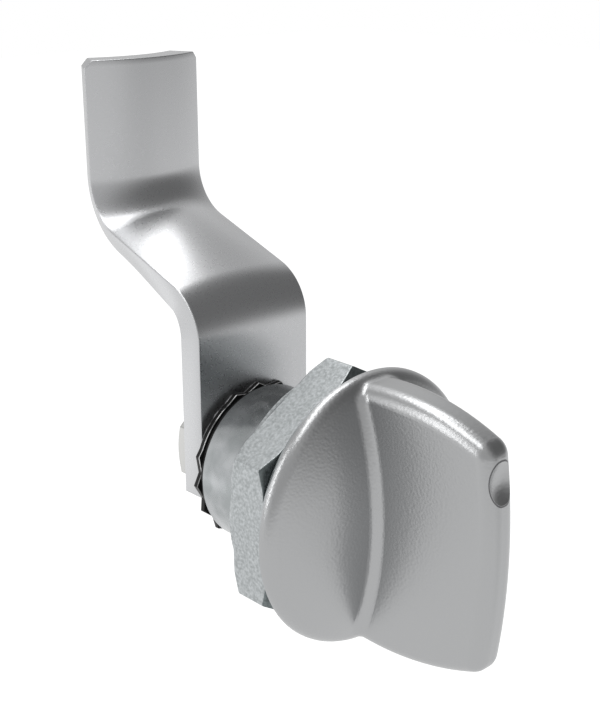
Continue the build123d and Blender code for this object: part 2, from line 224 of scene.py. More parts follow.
def lamp(name, target, azimuth, elevation, width, height, radiance, distance=LAMP_DISTANCE):
    """Area lamp that faces a target in millimetres. Its power is its brightness times its area times pi."""
    data = bpy.data.lights.new(name, "AREA")
    data.shape = "RECTANGLE"
    data.size = width
    data.size_y = height
    data.energy = radiance * width * height * math.pi
    light = bpy.data.objects.new(name, data)
    aim = towards(azimuth, elevation)
    facing = aim.to_track_quat("Z", "Y").to_matrix().to_4x4()
    light.matrix_world = Matrix.Translation(Vector(target) * MM + aim * distance) @ facing
    light.visible_camera = False
    bpy.context.scene.collection.objects.link(light)


lamp("softbox", CAM_SLOPE, azimuth=50, elevation=67, width=0.10, height=0.10, radiance=2.6)
lamp("ceiling", WING_TOP, azimuth=-34, elevation=71, width=0.175, height=0.05, radiance=2.8, distance=0.17)
lamp("left_strip", AXIS, azimuth=-70, elevation=24, width=0.045, height=0.26, radiance=3.5)
lamp("rear_low", AXIS, azimuth=-25, elevation=-17, width=0.13, height=0.04, radiance=0.3, distance=0.2)

# %% [markdown]
# The white floor throws light up from below. It glows a little by itself, so that it stays white under weak
# lamps. Metal doesn't mirror it, because the world already gives the floor's brightness to reflections.

# %% Floor
FLOOR_HEIGHT = -0.12
FLOOR_HALF = 1.5
FLOOR_GREY = 0.55
FLOOR_GLOW = 0.78

floor_mesh = bpy.data.meshes.new("floor")
corner_signs = ((-1, -1), (1, -1), (1, 1), (-1, 1))
floor_corners = [(x * FLOOR_HALF, y * FLOOR_HALF, FLOOR_HEIGHT) for x, y in corner_signs]
floor_mesh.from_pydata(floor_corners, [], [(0, 1, 2, 3)])
floor = bpy.data.objects.new("floor", floor_mesh)
bpy.context.scene.collection.objects.link(floor)
floor.visible_glossy = False
floor_look = bpy.data.materials.new("floor_white")
floor_look.use_nodes = True
floor_shader = floor_look.node_tree.nodes["Principled BSDF"]
floor_shader.inputs["Base Color"].default_value = (FLOOR_GREY, FLOOR_GREY, FLOOR_GREY, 1)
floor_shader.inputs["Roughness"].default_value = 1.0
floor_shader.inputs["Specular IOR Level"].default_value = 0.0
floor_shader.inputs["Emission Color"].default_value = (1, 1, 1, 1)
floor_shader.inputs["Emission Strength"].default_value = FLOOR_GLOW
floor_mesh.materials.append(floor_look)
print("floor", 2 * FLOOR_HALF, "m wide at", FLOOR_HEIGHT, "m")

# %% [markdown]
# Every finish is one shader whose colour, roughness and bumps come from noise. A picture could show the
# grain as well, but noise has no seam and stays sharp close up. It reads object coordinates, in metres, so
# a scale of 2000 gives grains of half a millimetre.

# %% A finish and its textures
finishes = {}


def finish(name, colour, roughness, metallic=1.0):
    """New material with one shader, kept under its slot's name."""
    material = bpy.data.materials.new(name)
    material.use_nodes = True
    shader = material.node_tree.nodes["Principled BSDF"]
    shader.inputs["Base Color"].default_value = (*colour, 1)
    shader.inputs["Metallic"].default_value = metallic
    shader.inputs["Roughness"].default_value = roughness
    finishes[name] = material
    return material


def placed(material, kind):
    """New node of a kind whose first input reads object coordinates."""
    tree = material.node_tree
    place = tree.nodes.new("ShaderNodeTexCoord")
    pattern = tree.nodes.new(kind)
    tree.links.new(place.outputs["Object"], pattern.inputs[0])
    return pattern


def noise(material, scale, detail):
    """Soft noise of a scale in grains per metre, with a number of finer layers."""
    pattern = placed(material, "ShaderNodeTexNoise")
    pattern.inputs["Scale"].default_value = scale
    pattern.inputs["Detail"].default_value = detail
    return pattern.outputs["Fac"]


def cells(material, scale):
    """Flat random value for each cell of a scale in cells per metre."""
    pattern = placed(material, "ShaderNodeTexVoronoi")
    pattern.inputs["Scale"].default_value = scale
    split = material.node_tree.nodes.new("ShaderNodeSeparateColor")
    material.node_tree.links.new(pattern.outputs["Color"], split.inputs["Color"])
    return split.outputs["Red"]


def marked(material):
    """Value of the piece's attribute mark, zero or one at each point, soft between: where painted light lies.
    """
    attribute = material.node_tree.nodes.new("ShaderNodeAttribute")
    attribute.attribute_name = "mark"
    return attribute.outputs["Fac"]


def grade(material, value, given, wanted):
    """Value that goes between the two wanted ones as a texture goes between the two given ones."""
    step = material.node_tree.nodes.new("ShaderNodeMapRange")
    step.inputs["From Min"].default_value, step.inputs["From Max"].default_value = given
    step.inputs["To Min"].default_value, step.inputs["To Max"].default_value = wanted
    material.node_tree.links.new(value, step.inputs["Value"])
    return step.outputs["Result"]


def product(material, first, second):
    """Two textures multiplied, so it is one only where both are."""
    multiply = material.node_tree.nodes.new("ShaderNodeMath")
    multiply.operation = "MULTIPLY"
    material.node_tree.links.new(first, multiply.inputs[0])
    material.node_tree.links.new(second, multiply.inputs[1])
    return multiply.outputs[0]


# %% From a texture into the shader
def feed(material, value, entry):
    """Lead a texture into one of the shader's inputs."""
    tree = material.node_tree
    tree.links.new(value, tree.nodes["Principled BSDF"].inputs[entry])


def shade(material, share, first, second):
    """Colour between two by a share."""
    mix = material.node_tree.nodes.new("ShaderNodeMix")
    mix.data_type = "RGBA"
    mix.inputs["A"].default_value = (*first, 1)
    mix.inputs["B"].default_value = (*second, 1)
    material.node_tree.links.new(share, mix.inputs["Factor"])
    feed(material, mix.outputs["Result"], "Base Color")


def tint(material, share, colour):
    """Present colour, multiplied by another one where the share is one."""
    tree = material.node_tree
    present = tree.nodes["Principled BSDF"].inputs["Base Color"].links[0].from_socket
    mix = tree.nodes.new("ShaderNodeMix")
    mix.data_type = "RGBA"
    mix.blend_type = "MULTIPLY"
    mix.inputs["B"].default_value = (*colour, 1)
    tree.links.new(share, mix.inputs["Factor"])
    tree.links.new(present, mix.inputs["A"])
    feed(material, mix.outputs["Result"], "Base Color")


def dull(material, value, given, wanted):
    """Roughness that goes between the two wanted ones as a texture goes between the two given ones."""
    feed(material, grade(material, value, given, wanted), "Roughness")


def emboss(material, height, depth):
    """Bumps of a depth in millimetres."""
    bump = material.node_tree.nodes.new("ShaderNodeBump")
    bump.inputs["Strength"].default_value = 1.0
    bump.inputs["Distance"].default_value = depth * MM
    material.node_tree.links.new(height, bump.inputs["Height"])
    feed(material, bump.outputs["Normal"], "Normal")


print("inputs of a shader", len(floor_shader.inputs))

# %% [markdown]
# The knob is a casting whose orange peel breaks the light up. Noise without finer layers has the same soft,
# even bumps. The marker dimple in the wing's outer edge has a dark rim of shade, painted as a thin dark
# line. The dimple is a part of a ball, so its rim is all that lies a little outside the ball. That needs no
# picture, and the line stays even all round.

# %% Ball of the marker dimple
DIMPLE_DIAMETER = 5.3
DIMPLE_DEPTH = 0.9
DIMPLE_HEIGHT = 10.2
WING_EDGE_BOW = 1.27
WING_EDGE_HALF_HEIGHT = 14.6

ball_radius = (DIMPLE_DIAMETER**2 / 4 + DIMPLE_DEPTH**2) / (2 * DIMPLE_DEPTH)
edge_radius = (WING_EDGE_HALF_HEIGHT**2 + WING_EDGE_BOW**2) / (2 * WING_EDGE_BOW)
edge_slope = math.asin(DIMPLE_HEIGHT / edge_radius)
edge_depth = extent("wing_knob", "Y")[0] + edge_radius * (1 - math.cos(edge_slope))
ball_out = ball_radius - DIMPLE_DEPTH
ball_depth = edge_depth - ball_out * math.cos(edge_slope)
ball_height = DIMPLE_HEIGHT + ball_out * math.sin(edge_slope)
print("ball", round(ball_radius, 4), "mm at depth", round(ball_depth, 4), "height", round(ball_height, 4))

# %% Knob casting
CASTING = (0.43, 0.435, 0.44)
DIMPLE_RIM_SHADE = (0.14, 0.14, 0.145)
RIM_DISTANCE = 0.09
RIM_HALF_WIDTH = 0.072


def ball_shell(material, centre, radius, half_width):
    """One where the distance to a centre is the radius, give or take half a width in millimetres."""
    tree = material.node_tree
    distance = placed(material, "ShaderNodeVectorMath")
    distance.operation = "DISTANCE"
    distance.inputs[1].default_value = Vector(centre) * MM
    compare = tree.nodes.new("ShaderNodeMath")
    compare.operation = "COMPARE"
    compare.inputs[1].default_value = radius * MM
    compare.inputs[2].default_value = half_width * MM
    tree.links.new(distance.outputs["Value"], compare.inputs[0])
    return compare.outputs[0]


knob_look = finish("knob_casting", CASTING, roughness=0.29)
emboss(knob_look, noise(knob_look, scale=2900, detail=0.0), depth=0.0155)
# Painted shade: a thin dark line just outside the dimple's ball, along its rim.
dimple_rim_shade = ball_shell(knob_look, (0, ball_depth, ball_height), ball_radius + RIM_DISTANCE, RIM_HALF_WIDTH)
shade(knob_look, dimple_rim_shade, CASTING, DIMPLE_RIM_SHADE)
print("nodes of the casting", len(knob_look.node_tree.nodes))

# %% [markdown]
# The housing is polished, but what it mirrors is a little bent and cloudy. A plain low roughness looks like
# glass. So wide shallow bumps bend the reflections, and soft patches change the roughness and the grey by a
# few hundredths.

# %% Polished housing
POLISH = (0.42, 0.43, 0.44)
POLISH_DARK = (0.36, 0.38, 0.385)
POLISH_LIGHT = (0.46, 0.475, 0.485)

housing_look = finish("polished_housing", POLISH, roughness=0.12)
emboss(housing_look, noise(housing_look, scale=300, detail=1.0), depth=0.1)
dull(housing_look, noise(housing_look, scale=600, detail=2.0), (0.35, 0.65), (0.2, 0.3))
cloud = grade(housing_look, noise(housing_look, scale=330, detail=2.0), (0.35, 0.65), (0, 1))
shade(housing_look, cloud, POLISH_DARK, POLISH_LIGHT)
print("nodes of the polish", len(housing_look.node_tree.nodes))

# %% [markdown]
# The nut has a zinc coat: a fine speckle of lighter and darker grains, and small crystals that are duller
# or brighter. Noise with five finer layers gives the speckle, and cells give the crystals. Its front lies
# in the knob's shade and is much darker than its sides, so the nut's surface carries a mark there, and a
# painted shade darkens the coat.

# %% Galvanised nut
ZINC = (0.35, 0.37, 0.38)
ZINC_DARK = (0.36, 0.38, 0.385)
ZINC_LIGHT = (0.56, 0.585, 0.595)
FRONT_SHADE = (0.37, 0.4, 0.4)

nut_look = finish("galvanised_nut", ZINC, roughness=0.42)
emboss(nut_look, noise(nut_look, scale=4200, detail=2.0), depth=0.012)
dull(nut_look, cells(nut_look, scale=3200), (0, 1), (0.36, 0.48))
speckle = grade(nut_look, noise(nut_look, scale=2500, detail=5.0), (0.33, 0.67), (0, 1))
shade(nut_look, speckle, ZINC_DARK, ZINC_LIGHT)
# Painted shade: where the mark lies, the front is multiplied darker, as the knob shades it.
tint(nut_look, marked(nut_look), FRONT_SHADE)
print("nodes of the zinc coat", len(nut_look.node_tree.nodes))

# %% [markdown]
# The cam is plated sheet steel, smooth enough for wide soft reflections to run over its bends, so its grain
# is a bump of less than a thousandth of a millimetre. The screw's head is rougher, and the turned steel
# inside the latch lies between the two.

# %% Cam, screw and inner steel
CAM_PLATING = (0.555, 0.56, 0.57)
SCREW_PLATING = (0.55, 0.55, 0.54)
TURNED_STEEL = (0.55, 0.55, 0.55)

cam_look = finish("cam_steel", CAM_PLATING, roughness=0.28)
emboss(cam_look, noise(cam_look, scale=5000, detail=0.0), depth=0.0008)
dull(cam_look, noise(cam_look, scale=2500, detail=1.0), (0.3, 0.7), (0.27, 0.3))
screw_look = finish("screw_steel", SCREW_PLATING, roughness=0.28)
emboss(screw_look, noise(screw_look, scale=2600, detail=1.0), depth=0.006)
bright_look = finish("bright_steel", TURNED_STEEL, roughness=0.25)
emboss(bright_look, noise(bright_look, scale=3000, detail=1.0), depth=0.002)
print("finishes so far", len(finishes))

# %% [markdown]
# The rings are black plastic. The upper edges of the toothed one carry a painted highlight: a light line
# where the rounds catch the light, made metallic so that it mirrors the surroundings too. The mark says
# where the painted highlight lies, and soft patches break the line up at random. The seals are rubber: dull,
# nearly black and a little grainy.

# %% Plastic and rubber
PLASTIC = (0.012, 0.012, 0.012)
PLASTIC_HIGHLIGHT = (0.9, 0.9, 0.9)
PLASTIC_SHEEN = 0.2
RUBBER = (0.03, 0.03, 0.03)

plastic_look = finish("black_plastic", PLASTIC, roughness=0.35, metallic=0.0)
plastic_look.node_tree.nodes["Principled BSDF"].inputs["Specular IOR Level"].default_value = PLASTIC_SHEEN
patches = grade(plastic_look, noise(plastic_look, scale=700, detail=2.0), (0.3, 0.5), (0, 1))
# Painted highlight: a light metallic line on the rounds that the mark covers, broken up by the patches.
painted_highlight = product(plastic_look, marked(plastic_look), patches)
shade(plastic_look, painted_highlight, PLASTIC, PLASTIC_HIGHLIGHT)
feed(plastic_look, painted_highlight, "Metallic")
emboss(plastic_look, noise(plastic_look, scale=2800, detail=1.0), depth=0.003)
rubber_look = finish("rubber", RUBBER, roughness=0.7, metallic=0.0)
emboss(rubber_look, noise(rubber_look, scale=3000, detail=2.0), depth=0.01)
print("finishes so far", len(finishes))

# %% [markdown]
# Every measured node gets the finish that its record names, the hidden ones too. So the pieces inside are
# not bare when the latch is shown taken apart, and a piece that is worked out again below has its node's
# finish.

# %% Finishes on the measured nodes
slots = {part["node"]: part["material_slot"] for part in frame["record"]["subparts"]}
for node, obj in frame["nodes"].items():
    obj.data.materials.clear()
    obj.data.materials.append(finishes[slots[node]])
print("nodes with a finish", len(slots))

# %% [markdown]
# Real edges are never perfectly sharp: they catch a thin line of light. So the plain pieces are worked out
# again with small rounds. Each one is a grid of points: closed rows, one after another, and quads between
# neighbouring rows. Booleans and a Bevel modifier could do it too, but a grid keeps its quads even, so
# reflections run without a ripple.

# %% From rows of points to a mesh piece
MERGE_DISTANCE = 1e-7


def row_quads(row_count, row_length, stack_closed):
    """Corner numbers of the quads between neighbouring rows. Each row closes, and so may the stack."""
    index = np.arange(row_count * row_length).reshape(row_count, row_length)
    beside = np.roll(index, -1, axis=1)
    quads = np.stack([index, beside, np.roll(beside, -1, axis=0), np.roll(index, -1, axis=0)], axis=-1)
    return quads if stack_closed else quads[:-1]


def piece(name, node, body, slot, skins, mark=None):
    """Smooth mesh from skins, each a pair of points in millimetres and quads, in a measured node's place.

    Points that meet are merged, faces are turned outwards, and edges without exactly two faces are counted.
    """
    sizes = [0] + [len(points) for points, quads in skins]
    starts = np.cumsum(sizes)
    places = np.concatenate([points for points, quads in skins]) * MM
    faces = np.concatenate([quads.reshape(-1, 4) + start for (points, quads), start in zip(skins, starts)])
    mesh = bpy.data.meshes.new(name)
    mesh.from_pydata(places, [], faces.tolist())
    if mark is not None:
        mesh.attributes.new("mark", "FLOAT", "POINT").data.foreach_set("value", mark)
    shell = bmesh.new()
    shell.from_mesh(mesh)
    bmesh.ops.remove_doubles(shell, verts=shell.verts, dist=MERGE_DISTANCE)
    bmesh.ops.recalc_face_normals(shell, faces=shell.faces)
    open_edges = sum(not edge.is_manifold for edge in shell.edges)
    shell.to_mesh(mesh)
    shell.free()
    mesh.polygons.foreach_set("use_smooth", np.ones(len(mesh.polygons), dtype=bool))
    mesh.materials.append(finishes[slot])
    obj = bpy.data.objects.new(name, mesh)
    bpy.context.scene.collection.objects.link(obj)
    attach(obj, body)
    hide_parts(node)
    print(name, "faces", len(mesh.polygons), "open edges", open_edges)


print("quads of two rows of four points", len(row_quads(2, 4, stack_closed=False)[0]))

# %% Turned skins and rounds
QUARTER = np.linspace(0, math.pi / 2, 5)
HOLDING_ROW = 1.6


def around(count):
    """Even angles from +X towards +Z."""
    return np.linspace(0, 2 * math.pi, count, endpoint=False)


def turned(angles, profile, stack_closed=True):
    """Skin about the latch axis. A profile entry is a radius and a depth, one number or one per angle."""
    radii = np.array([np.broadcast_to(radius, angles.shape) for radius, depth in profile])
    depths = np.array([np.broadcast_to(depth, angles.shape) for radius, depth in profile])
    rows = np.stack([radii * np.cos(angles), depths, radii * np.sin(angles)], axis=-1)
    return rows.reshape(-1, 3), row_quads(len(profile), len(angles), stack_closed)


def rounded(radius, depth, outward, inward, size):
    """Quarter round from a face to a side, about a sharp corner's radius and depth.

    Outward and inward are one or minus one: the ways along the face to the side, and into the piece. A row
    on the face and one on the side lie just past the round and keep its shading off the flats.
    """
    on_face = [(radius - outward * HOLDING_ROW * size, depth)]
    arc = [
        (radius - outward * size * (1 - math.sin(turn)), depth + inward * size * (1 - math.cos(turn)))
        for turn in QUARTER
    ]
    return on_face + arc + [(radius, depth + inward * HOLDING_ROW * size)]


print("rows of a round", len(rounded(1, 0, 1, 1, 0.1)))

# %% [markdown]
# The nut is a hexagon whose corners are turned off by a cone on both faces. At each angle its reach is half
# the distance across flats over the cosine to the nearest flat. Adding up high powers of the cosines
# instead of taking the largest rounds the corners a little. Points crowd at the corners, where the outline
# turns.

# %% Hexagons
HEXAGON_POWER = 190
CORNER_CROWDING = 0.75
CONE_RISE = math.tan(math.radians(30))
FACE_ROW = 0.2


def hexagon_angles(count, first_flat):
    """Angles whose spacing is smallest at the corners: the step is one minus a share of a cosine."""
    even = around(count)
    corner = math.radians(first_flat + 30)
    return even - CORNER_CROWDING / 6 * np.sin(6 * (even - corner))


def hexagon(angles, across_flats, first_flat):
    """Half across flats, over a high root of the sum of that power of the cosines to the six flats."""
    flats = math.radians(first_flat) + np.arange(6) * math.pi / 3
    cosines = np.clip(np.cos(angles[:, None] - flats), 0, None)
    return across_flats / 2 * (cosines**HEXAGON_POWER).sum(axis=1) ** (-1 / HEXAGON_POWER)


def cone_start(across_flats, corner_drop):
    """Radius where the cone leaves the face: the sharp corner's reach, less its drop over the rise."""
    return across_flats / math.sqrt(3) - corner_drop / CONE_RISE


def hexagon_edge(side, cone, depth, inward, size):
    """Rows from a hexagon's end face over its turned-off cone and a small round to its side."""
    face = np.minimum(cone, side - size)
    rows = [(face - FACE_ROW * size, depth), (face, depth)]
    for turn in QUARTER:
        reach = side - size * (1 - math.sin(turn))
        drop = np.clip(reach - cone, 0, None) * CONE_RISE + size * (1 - math.cos(turn))
        rows.append((reach, depth + inward * drop))
    drop = np.clip(side - cone, 0, None) * CONE_RISE + HOLDING_ROW * size
    return rows + [(side, depth + inward * drop)]


print("cone of a 10 mm hexagon starts at", round(cone_start(10, 0.5), 3), "mm")

# %% Mounting nut
NUT_FLATS = 32.0
NUT_FIRST_FLAT = 1.0
NUT_THICKNESS = 6.0
NUT_DROP = 0.75
NUT_EDGE = 0.13
NUT_BORE = 11.05
NUT_MOUTH = 0.5
NUT_MOUTH_ROW = 0.1
NUT_FACE_RADIUS = 15.75
NUT_CREASE = 0.03
NUT_ANGLES = 480

nut_front, nut_rear = extent("mounting_nut", "Y")
hexagon_rear = nut_front + NUT_THICKNESS
nut_angles = hexagon_angles(NUT_ANGLES, NUT_FIRST_FLAT)
nut_side = hexagon(nut_angles, NUT_FLATS, NUT_FIRST_FLAT)
nut_cone = cone_start(NUT_FLATS, NUT_DROP)
mouth = (
    (NUT_BORE, NUT_MOUTH + NUT_MOUTH_ROW),
    (NUT_BORE, NUT_MOUTH),
    (NUT_BORE + NUT_MOUTH, 0),
    (NUT_BORE + NUT_MOUTH + NUT_MOUTH_ROW, 0),
)
front_mouth = [(radius, nut_front + depth) for radius, depth in mouth]
rear_mouth = [(radius, nut_rear - depth) for radius, depth in mouth[::-1]]
front_edge = hexagon_edge(nut_side, nut_cone, nut_front, 1, NUT_EDGE)
rear_edge = hexagon_edge(nut_side, nut_cone, hexagon_rear, -1, NUT_EDGE)[::-1]
crease = [(NUT_FACE_RADIUS + NUT_CREASE, hexagon_rear), (NUT_FACE_RADIUS, hexagon_rear + NUT_CREASE)]
washer_face = rounded(NUT_FACE_RADIUS, nut_rear, 1, -1, NUT_EDGE)[::-1]
nut_profile = front_mouth + front_edge + rear_edge + crease + washer_face + rear_mouth

# The painted shade on the front ends in the middle of the front edge's round.
rows_past_middle = len(QUARTER) // 2 + 1
front_rows = len(front_mouth) + len(front_edge) - rows_past_middle
nut_painted_shade = np.repeat(np.arange(len(nut_profile)) < front_rows, len(nut_angles)).astype(float)
nut_skin = turned(nut_angles, nut_profile)
piece("hexagon_nut", "mounting_nut", "housing", "galvanised_nut", [nut_skin], nut_painted_shade)

# %% [markdown]
# Two thin black rings lie between the housing and the cam. The first is plain: four rounds and the flats
# between them, turned about the axis. Spinning an outline with the Screw modifier would do as well, but the
# same function also serves for rings that aren't round.

# %% Plain ring
RING_INNER = 8.7
RING_EDGE = 0.12
RING_ANGLES = 240


def ring_rows(inner, outer, front, rear, size):
    """Closed profile of a ring with a round at each of its four edges, inner front first."""
    return (
        rounded(inner, front, -1, 1, size)[::-1]
        + rounded(outer, front, 1, 1, size)
        + rounded(outer, rear, 1, -1, size)[::-1]
        + rounded(inner, rear, -1, -1, size)
    )


ring_front, ring_rear = extent("thrust_washer", "Y")
ring_outer = extent("thrust_washer", "X")[1]
ring_profile = ring_rows(RING_INNER, ring_outer, ring_front, ring_rear, RING_EDGE)
ring_skin = turned(around(RING_ANGLES), ring_profile)
piece("plain_ring", "thrust_washer", "housing", "black_plastic", [ring_skin])

# %% [markdown]
# The second ring is stamped: two smooth sectors with pointed teeth between them, a square hole for the
# spindle, and two lugs that reach into the housing and stop the turn. Its outline is a reach for each
# angle, so it is turned like the plain one, with the reaches of the teeth and of the hole in place of the
# radii.

# %% Outline of the toothed ring
STOP_RADIUS = 10.925
TOOTH_TIP = 11.25
TOOTH_VALLEY = 10.4
TOOTH_PITCH = 21.3
TOOTH_COUNT = 7
VALLEY_SHARE = 0.57
FIRST_TIP = 73.0
SMOOTH_START = 29.0
SMOOTH_SIZE = 38.0
SMOOTH_CORNERS = 20
DRIVE_HALF = 4.8
DRIVE_ROUND = 6.05


def tooth_corners():
    """Turns from +Z towards -X and reaches of the corners: arcs as short chords, then tips and valleys."""
    corners = []
    for half in (0, 180):
        for share in np.linspace(0, 1, SMOOTH_CORNERS):
            corners.append((SMOOTH_START + half + share * SMOOTH_SIZE, STOP_RADIUS))
        for tooth in range(TOOTH_COUNT):
            tip = FIRST_TIP + half + tooth * TOOTH_PITCH
            corners += [(tip, TOOTH_TIP), (tip + VALLEY_SHARE * TOOTH_PITCH, TOOTH_VALLEY)]
        corners.pop()
    corners.append((SMOOTH_START + 360, STOP_RADIUS))
    return np.radians([turn for turn, reach in corners]), np.array([reach for turn, reach in corners])


def toothed(angles):
    """Reach along chords: both ends' reaches times the sine between them, over their sine-weighted sum."""
    turns, reaches = tooth_corners()
    turn = turns[0] + np.mod(angles - math.pi / 2 - turns[0], 2 * math.pi)
    chord = np.clip(np.searchsorted(turns, turn, side="right") - 1, 0, len(turns) - 2)
    start, end = turns[chord], turns[chord + 1]
    first, second = reaches[chord], reaches[chord + 1]
    return first * second * np.sin(end - start) / (first * np.sin(turn - start) + second * np.sin(end - turn))


def square_hole(angles):
    """Reach of a square cut by a circle: half the square over the larger of sine and cosine."""
    sides = np.maximum(np.abs(np.cos(angles)), np.abs(np.sin(angles)))
    return np.minimum(DRIVE_HALF / sides, DRIVE_ROUND)


print("corners of the toothed outline", len(tooth_corners()[0]))

# %% Toothed ring with its lugs
STOP_THICKNESS = 0.74
STOP_EDGE = 0.09
STOP_ANGLES = 900
LUG_INNER = 6.3
LUG_OUTER = 8.3
LUG_HALF = 18.0
LUG_ANGLES = 16
HIGHLIGHT_ROWS = (0, 0, 1, 1, 1, 0, 0)
HIGHLIGHT_MIDDLE = 0.5
HIGHLIGHT_SLOPE = 2.5

lug_front, stop_rear = extent("stop_washer", "Y")
stop_front = stop_rear - STOP_THICKNESS
stop_angles = around(STOP_ANGLES)
stop_profile = ring_rows(square_hole(stop_angles), toothed(stop_angles), stop_front, stop_rear, STOP_EDGE)
stop_skins = [turned(stop_angles, stop_profile)]

# Each lug's row goes out along its outer arc and back along its inner one. The first and last rows fold
# together on the arc between them, where merging the doubles closes the skin.
lug_sweep = np.radians(np.linspace(-LUG_HALF, LUG_HALF, LUG_ANGLES))
lug_reach = np.repeat([LUG_OUTER, LUG_INNER], LUG_ANGLES)
lug_middle = (LUG_OUTER + LUG_INNER) / 2
lug_tip = [(lug_middle, lug_front), (lug_reach, lug_front)]
lug_root = [(lug_reach, stop_front), (lug_middle, stop_front)]
for lug_turn in (90, 270):
    lug_angles = math.radians(lug_turn) + np.concatenate([lug_sweep, lug_sweep[::-1]])
    stop_skins.append(turned(lug_angles, lug_tip + lug_root, stack_closed=False))

# The painted highlight lies on the middle rows of the rounds, fully at the top and not at all at the bottom.
highlight_share = np.clip(HIGHLIGHT_MIDDLE + HIGHLIGHT_SLOPE * np.sin(stop_angles), 0, 1)
ring_highlight = np.outer(np.resize(HIGHLIGHT_ROWS, len(stop_profile)), highlight_share).ravel()
lug_points = sum(len(points) for points, quads in stop_skins[1:])
stop_highlight = np.concatenate([ring_highlight, np.zeros(lug_points)])
piece("toothed_ring", "stop_washer", "turning", "black_plastic", stop_skins, stop_highlight)

# %% [markdown]
# The screw's head shows only its edge behind the cam. Its rear face has the usual cone, and its shank goes
# into the spindle. A cylinder and a hexagonal prism could be joined, but as one profile the screw is a
# single closed skin. The first and last rows shrink to a point on the axis, so it closes at its poles.

# %% Cam screw
HEAD_DROP = 0.6
HEAD_EDGE = 0.15
SEAT_BREAK = 0.05
SEAT_ROW = 0.2
SHANK_RADIUS = 3.95
SHANK_TAPER = 0.6
SHANK_ROW = 0.1
SCREW_ANGLES = 240

shank_tip, head_rear = extent("cam_screw", "Y")
head_seat = extent("lock_washer", "Y")[1]
head_flats = 2 * extent("cam_screw", "X")[1]
screw_angles = hexagon_angles(SCREW_ANGLES, 0)
head_side = hexagon(screw_angles, head_flats, 0)
shank_end = [(0, shank_tip), (SHANK_RADIUS - SHANK_TAPER, shank_tip)]
shank_side = [(SHANK_RADIUS, shank_tip + SHANK_TAPER), (SHANK_RADIUS, head_seat - SHANK_ROW)]
shank_root = [(SHANK_RADIUS, head_seat), (SHANK_RADIUS + SHANK_ROW, head_seat)]
seat_face = [(head_side - SEAT_ROW, head_seat), (head_side - SEAT_BREAK, head_seat)]
seat_side = [(head_side, head_seat + SEAT_BREAK), (head_side, head_seat + SEAT_ROW)]
head_edge = hexagon_edge(head_side, cone_start(head_flats, HEAD_DROP), head_rear, -1, HEAD_EDGE)[::-1]
screw_profile = shank_end + shank_side + shank_root + seat_face + seat_side + head_edge + [(0, head_rear)]
screw_skin = turned(screw_angles, screw_profile, stack_closed=False)
piece("screw_body", "cam_screw", "turning", "screw_steel", [screw_skin])

# %% [markdown]
# The cam is a flat bar that is bent rearward, bent up again, and arched across its width from the first
# bend on, like a roof tile. Two modifiers could bend it and arch it in turn, but each would pull at the
# other's work. So the bar is first a stack of closed outlines in blank coordinates, across the bar and
# through its thickness, and then each outline is wrapped on the arch's circle and carried along the bent
# path. The arch grows smoothly with the distance travelled.

# %% Path of the cam
CAM_THICKNESS = 3.85
CAM_FOOT_HALF = 3.05
CAM_SIDE_END = -3.3
CAM_BEND_START = 18.5
CAM_FIRST_RADIUS = 7.5
CAM_SECOND_RADIUS = 7.4
CAM_BEND = math.radians(70.7)
CAM_SLANT = 13.9
CAM_TIP_CHAMFER = 1.0
CAM_ARCH = math.radians(28.4)
CAM_ARCH_LENGTH = 25.1
CAM_EDGE = 0.16

cam_front = extent("cam", "Y")[0]
cam_half = extent("cam", "X")[1]
cam_foot, cam_tip = extent("cam", "Z")
slant_start = CAM_FIRST_RADIUS * CAM_BEND
slant_end = slant_start + CAM_SLANT
straight_again = slant_end + CAM_SECOND_RADIUS * CAM_BEND


def cam_turn(travel):
    """Slope of the path: zero, rising evenly round the first bend, level on the slant, and back to zero."""
    rise = np.clip(travel / CAM_FIRST_RADIUS, 0, CAM_BEND)
    fall = np.clip((travel - slant_end) / CAM_SECOND_RADIUS, 0, CAM_BEND)
    return rise - fall


def cam_path(travel):
    """Depth and height of the bar's front: exact arcs and straights, added up by stretch of the path."""
    turn = cam_turn(travel)
    in_first = np.clip(travel / CAM_FIRST_RADIUS, 0, CAM_BEND)
    on_slant = np.clip(travel - slant_start, 0, CAM_SLANT)
    past = np.clip(travel - straight_again, 0, None) + np.clip(travel, None, 0)
    in_second = travel > slant_end
    depth = cam_front + CAM_FIRST_RADIUS * (1 - np.cos(in_first)) + on_slant * math.sin(CAM_BEND)
    depth = depth + in_second * CAM_SECOND_RADIUS * (np.cos(turn) - math.cos(CAM_BEND))
    height = CAM_BEND_START + CAM_FIRST_RADIUS * np.sin(in_first) + on_slant * math.cos(CAM_BEND)
    height = height + in_second * CAM_SECOND_RADIUS * (math.sin(CAM_BEND) - np.sin(turn)) + past
    return depth, height


cam_top = CAM_BEND_START + cam_tip - cam_path(np.array([straight_again]))[1][0] + straight_again
print("bar length", round(cam_top - cam_foot, 2), "mm")

# %% Columns of the cam's outline
INNER_COLUMNS = 9
OUTER_SHARES = (0.2, 0.4, 0.6, 0.8, 0.95, 1)
SIDE_LAYER = 0.5

# A point is four shares: of the hole's half width, of the face beside it, and of the edge round's reach and
# its drop. The rear has the front's points in reverse, one layer up, and the left half mirrors the right.
over_hole = [(share, 0, 0, 0) for share in np.linspace(0, 1, INNER_COLUMNS)]
beside_hole = [(1, share, 0, 0) for share in OUTER_SHARES]
round_edge = [(1, 1, math.sin(turn), 1 - math.cos(turn)) for turn in QUARTER[1:]]
quarter = np.array(over_hole + beside_hole + round_edge)
right_half = np.concatenate([quarter, quarter[-1:], quarter[::-1]])
right_layer = np.concatenate([np.zeros(len(quarter)), [SIDE_LAYER], np.ones(len(quarter))])
columns = np.concatenate([right_half, right_half[-2:0:-1]])
column_layer = np.concatenate([right_layer, right_layer[-2:0:-1]])
column_side = np.concatenate([np.ones(len(right_half)), -np.ones(len(right_half) - 2)])
print("points in a row", len(columns))

